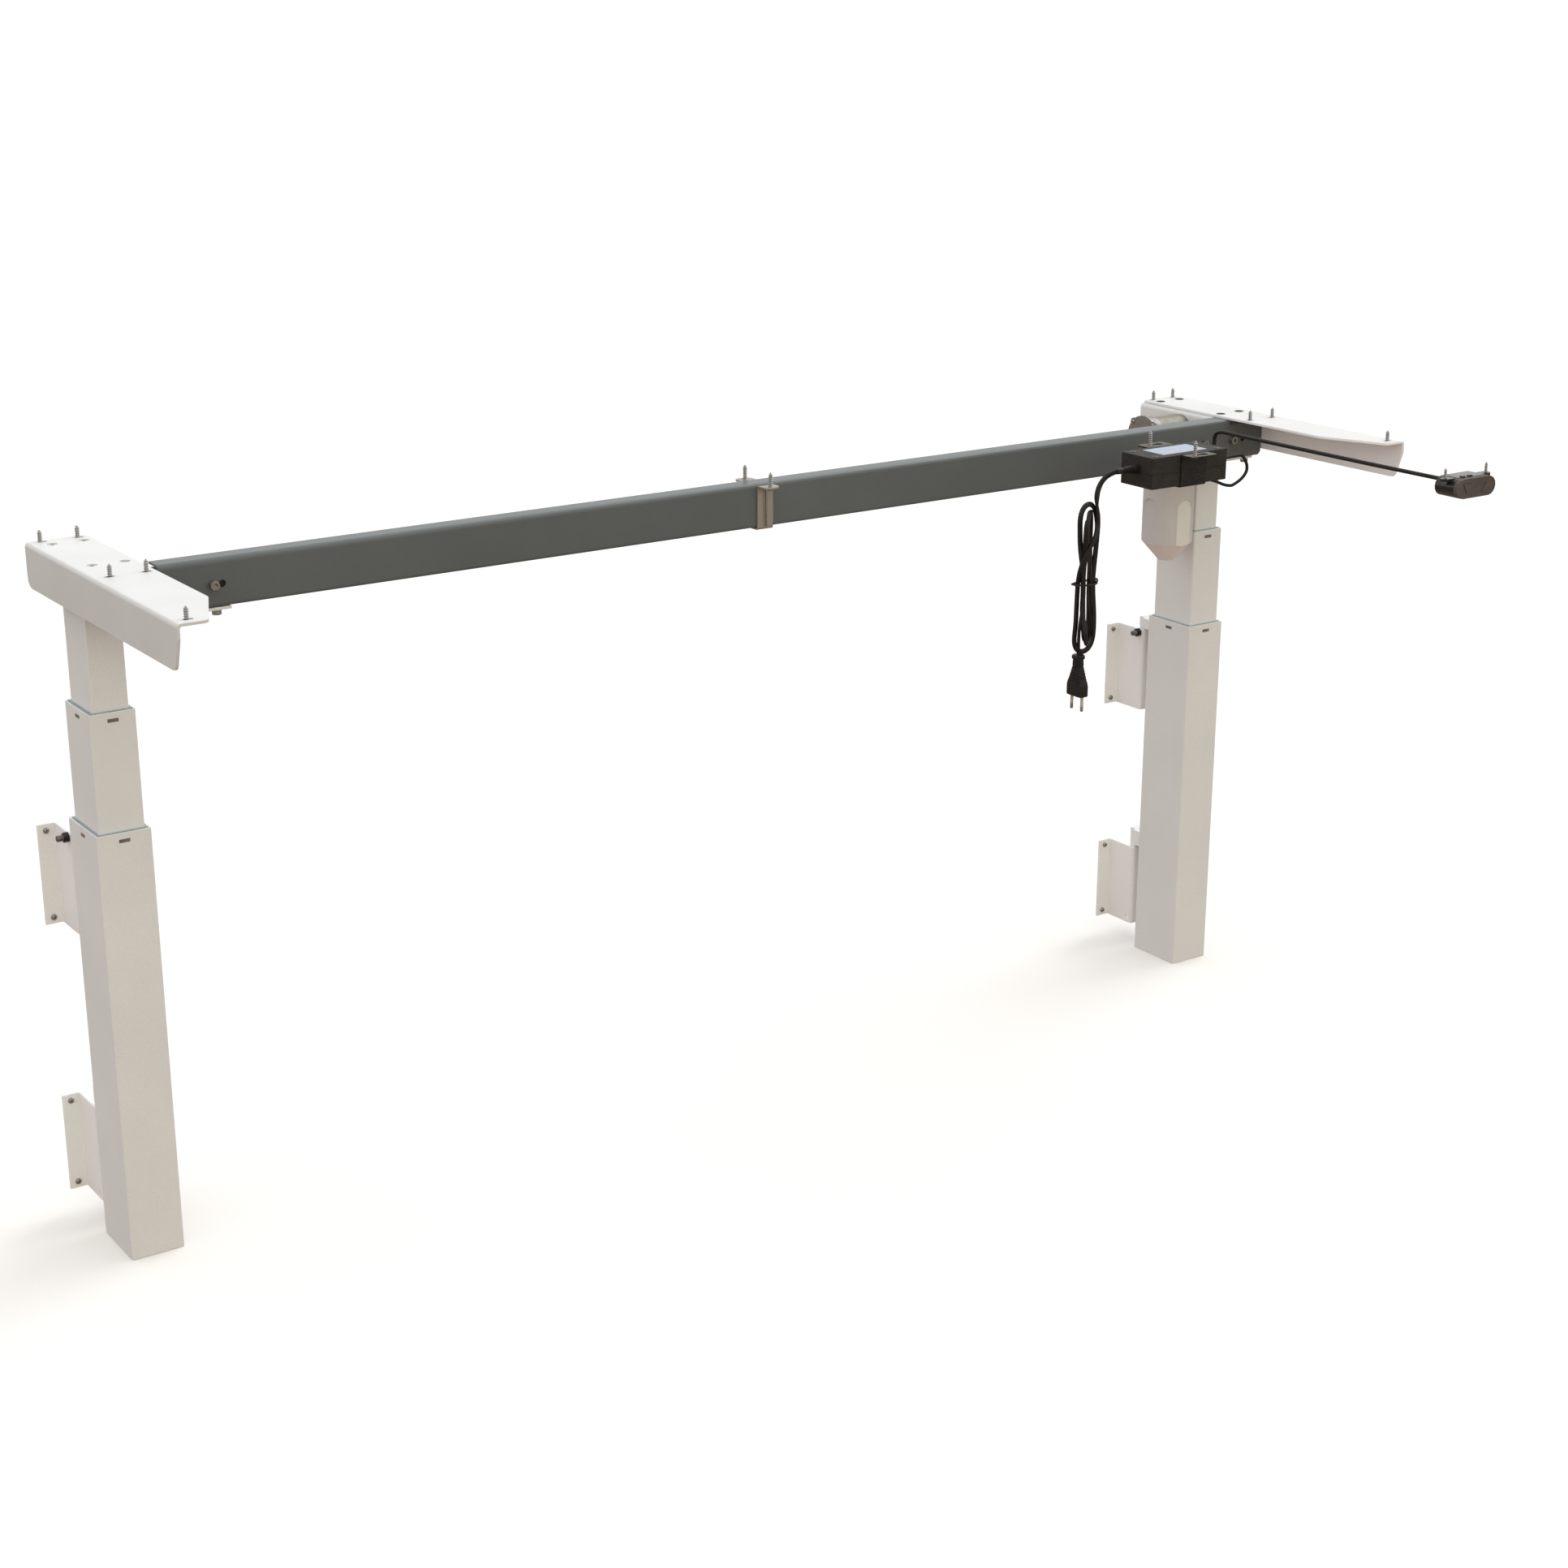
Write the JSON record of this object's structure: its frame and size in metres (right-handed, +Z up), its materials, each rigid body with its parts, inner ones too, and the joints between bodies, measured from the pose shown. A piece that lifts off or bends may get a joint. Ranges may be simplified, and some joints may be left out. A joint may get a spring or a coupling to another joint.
{
  "type": "wall-hung electric height-adjustable desk frame",
  "caption": "Wall-hung lifting desk frame: telescopic columns driven by a worm gear motor, cross beam, side rails, control box, mains lead and handset.",
  "frame": {"origin": "on the wall plane, on the floor, midway between the two columns", "axes": "+X along the cross beam towards the column with the gear motor, +Y into the wall, +Z up"},
  "size_m": [1.6082, 0.6408, 0.7765],
  "materials": {
    "white_coat": "fine textured powder coat, warm white",
    "beam_coat": "satin dark grey powder coat",
    "zinc": "bright zinc plate",
    "galvanised": "galvanised sheet",
    "black_bolt": "black oxide",
    "glide_plastic": "moulded acetal",
    "gear_steel": "machined steel",
    "bronze": "cut bronze",
    "housing_metal": "die cast, satin",
    "black_plastic": "spark textured moulding",
    "black_steel": "black textured coat",
    "cord_rubber": "satin cable sheath",
    "bezel_plastic": "moulded, satin",
    "board": "glass-fibre board"
  },
  "bodies": {
    "wall_side": {"left_outer_tube": "white_coat", "left_upper_wall_bracket": "white_coat", "left_lower_wall_bracket": "white_coat", "left_upper_hook": "white_coat", "left_lower_hook": "white_coat", "left_outer_glide": "glide_plastic", "left_lock_bolt": "black_bolt", "right_outer_tube": "white_coat", "right_upper_wall_bracket": "white_coat", "right_lower_wall_bracket": "white_coat", "right_upper_hook": "white_coat", "right_lower_hook": "white_coat", "right_outer_glide": "glide_plastic", "right_lock_bolt": "black_bolt"},
    "lift_frame": {"left_inner_tube": "white_coat", "left_head_bracket": "white_coat", "left_beam_adapter": "white_coat", "left_side_rail": "white_coat", "right_inner_tube": "white_coat", "right_head_bracket": "white_coat", "right_beam_adapter": "white_coat", "right_side_rail": "white_coat", "cross_beam": "beam_coat", "beam_screw_1": "zinc", "beam_screw_2": "zinc", "beam_screw_3": "zinc", "beam_screw_4": "zinc", "mid_clamp": "galvanised", "gear_housing": "housing_metal", "gear_cover": "housing_metal", "bearing_ring": "gear_steel", "motor": "gear_steel", "motor_cover": "white_coat", "control_box": "black_plastic", "control_box_lid": "black_plastic", "control_board": "board", "box_strap": "black_steel", "cable_gland": "cord_rubber", "mains_lead": "cord_rubber", "mains_hank": "cord_rubber", "cord_tie": "cord_rubber", "mains_plug": "cord_rubber", "motor_cable": "cord_rubber", "handset_cable": "cord_rubber", "handset_case": "black_plastic", "handset_bezel": "bezel_plastic"},
    "left_middle_stage": {"left_middle_tube": "white_coat", "left_middle_glide": "glide_plastic"},
    "right_middle_stage": {"right_middle_tube": "white_coat", "right_middle_glide": "glide_plastic"},
    "left_spindle_set": {"left_spindle": "gear_steel", "left_bevel_gear": "gear_steel"},
    "right_spindle_set": {"right_spindle": "gear_steel", "right_bevel_gear": "gear_steel"},
    "cross_shaft": {"drive_shaft": "gear_steel", "worm_wheel": "bronze"},
    "motor_rotor": {"worm": "gear_steel"},
    "down_button": {"down_button": "bezel_plastic"},
    "up_button": {"up_button": "bezel_plastic"}
  },
  "joints": [
    {"name": "lift", "type": "slide", "parent": "wall_side", "child": "lift_frame", "axis": [0, 0, 1], "range_m": [-0.13, 0.37]},
    {"name": "left_middle_slide", "type": "slide", "parent": "wall_side", "child": "left_middle_stage", "axis": [0, 0, 1], "range_m": [-0.066, 0.186]},
    {"name": "right_middle_slide", "type": "slide", "parent": "wall_side", "child": "right_middle_stage", "axis": [0, 0, 1], "range_m": [-0.066, 0.186]},
    {"name": "cross_shaft_spin", "type": "hinge", "parent": "lift_frame", "child": "cross_shaft", "pos_m": [0, -0.1097, 0.744], "axis": [1, 0, 0], "continuous": true},
    {"name": "left_spindle_spin", "type": "hinge", "parent": "lift_frame", "child": "left_spindle_set", "pos_m": [-0.7608, -0.1097, 0.4], "axis": [0, 0, 1], "continuous": true},
    {"name": "right_spindle_spin", "type": "hinge", "parent": "lift_frame", "child": "right_spindle_set", "pos_m": [0.7608, -0.1097, 0.4], "axis": [0, 0, 1], "continuous": true},
    {"name": "worm_spin", "type": "hinge", "parent": "lift_frame", "child": "motor_rotor", "pos_m": [0.6957, -0.1355, 0.7], "axis": [0, 0, 1], "continuous": true},
    {"name": "down_press", "type": "slide", "parent": "lift_frame", "child": "down_button", "axis": [0, 1, 0], "range_m": [0, 0.001], "stiffness_N_per_m": 600},
    {"name": "up_press", "type": "slide", "parent": "lift_frame", "child": "up_button", "axis": [0, 1, 0], "range_m": [0, 0.001], "stiffness_N_per_m": 600}
  ],
  "couplings": [
    {"joint": "left_middle_slide", "follows": "lift", "ratio": 0.5},
    {"joint": "right_middle_slide", "follows": "lift", "ratio": 0.5},
    {"joint": "cross_shaft_spin", "follows": "lift", "rad_per_m": 628.32},
    {"joint": "left_spindle_spin", "follows": "lift", "rad_per_m": 628.32},
    {"joint": "right_spindle_spin", "follows": "lift", "rad_per_m": -628.32},
    {"joint": "worm_spin", "follows": "lift", "rad_per_m": 7539.8}
  ]
}
